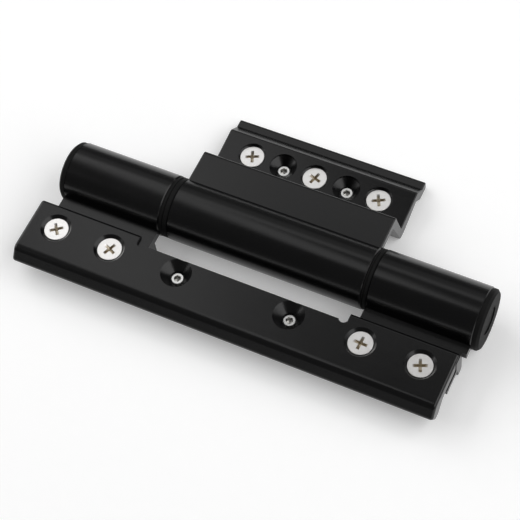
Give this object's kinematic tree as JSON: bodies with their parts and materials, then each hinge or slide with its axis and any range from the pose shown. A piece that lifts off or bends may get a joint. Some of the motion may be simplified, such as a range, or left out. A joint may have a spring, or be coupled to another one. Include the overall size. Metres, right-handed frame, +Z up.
{
  "type": "adjustable hinge",
  "caption": "Black three-knuckle door hinge lying open: a screwed clamp plate over a sliding knuckle carrier, a barrel with a steel pin, and a stepped centre leaf.",
  "frame": {"origin": "centre of the part's box on the surface that it lies on", "axes": "+X along the barrel, +Y from the clamp plate to the centre leaf, +Z up"},
  "size_m": [0.1694, 0.0903, 0.0233],
  "materials": {
    "black_coat": "satin black coated aluminium extrusion",
    "black_nylon": "moulded black plastic",
    "pin_steel": "ground steel",
    "zinc_steel": "bright zinc plate",
    "set_screw_steel": "plain steel"
  },
  "bodies": {
    "clamp_plate": {"clamp_plate": "black_coat", "plate_fixing_screws": "zinc_steel"},
    "knuckle_carrier": {"knuckle_carrier": "black_coat", "hinge_pin": "pin_steel", "left_outer_bush": "black_nylon", "right_outer_bush": "black_nylon", "left_end_cap": "black_nylon", "right_end_cap": "black_nylon", "left_pin_lock_screw": "set_screw_steel", "right_pin_lock_screw": "set_screw_steel"},
    "centre_leaf": {"centre_leaf": "black_coat", "left_centre_bush": "black_nylon", "right_centre_bush": "black_nylon", "leaf_fixing_screws": "zinc_steel"},
    "left_plate_adjuster": {"left_plate_adjuster": "set_screw_steel"},
    "left_leaf_adjuster": {"left_leaf_adjuster": "set_screw_steel"},
    "right_plate_adjuster": {"right_plate_adjuster": "set_screw_steel"},
    "right_leaf_adjuster": {"right_leaf_adjuster": "set_screw_steel"}
  },
  "joints": [
    {"name": "height_slide", "type": "slide", "parent": "clamp_plate", "child": "knuckle_carrier", "axis": [1, 0, 0], "range_m": [-0.006, 0]},
    {"name": "leaf_swing", "type": "hinge", "parent": "knuckle_carrier", "child": "centre_leaf", "pos_m": [0.0021, -0.00395, 0.01165], "axis": [1, 0, 0], "range_deg": [0, 140]},
    {"name": "left_plate_adjust", "type": "slide", "parent": "clamp_plate", "child": "left_plate_adjuster", "axis": [0, 0, 1], "range_m": [0, 0.0025]},
    {"name": "left_leaf_adjust", "type": "slide", "parent": "centre_leaf", "child": "left_leaf_adjuster", "axis": [0, 0, 1], "range_m": [0, 0.0015]},
    {"name": "right_plate_adjust", "type": "slide", "parent": "clamp_plate", "child": "right_plate_adjuster", "axis": [0, 0, 1], "range_m": [0, 0.0025]},
    {"name": "right_leaf_adjust", "type": "slide", "parent": "centre_leaf", "child": "right_leaf_adjuster", "axis": [0, 0, 1], "range_m": [0, 0.0015]}
  ]
}
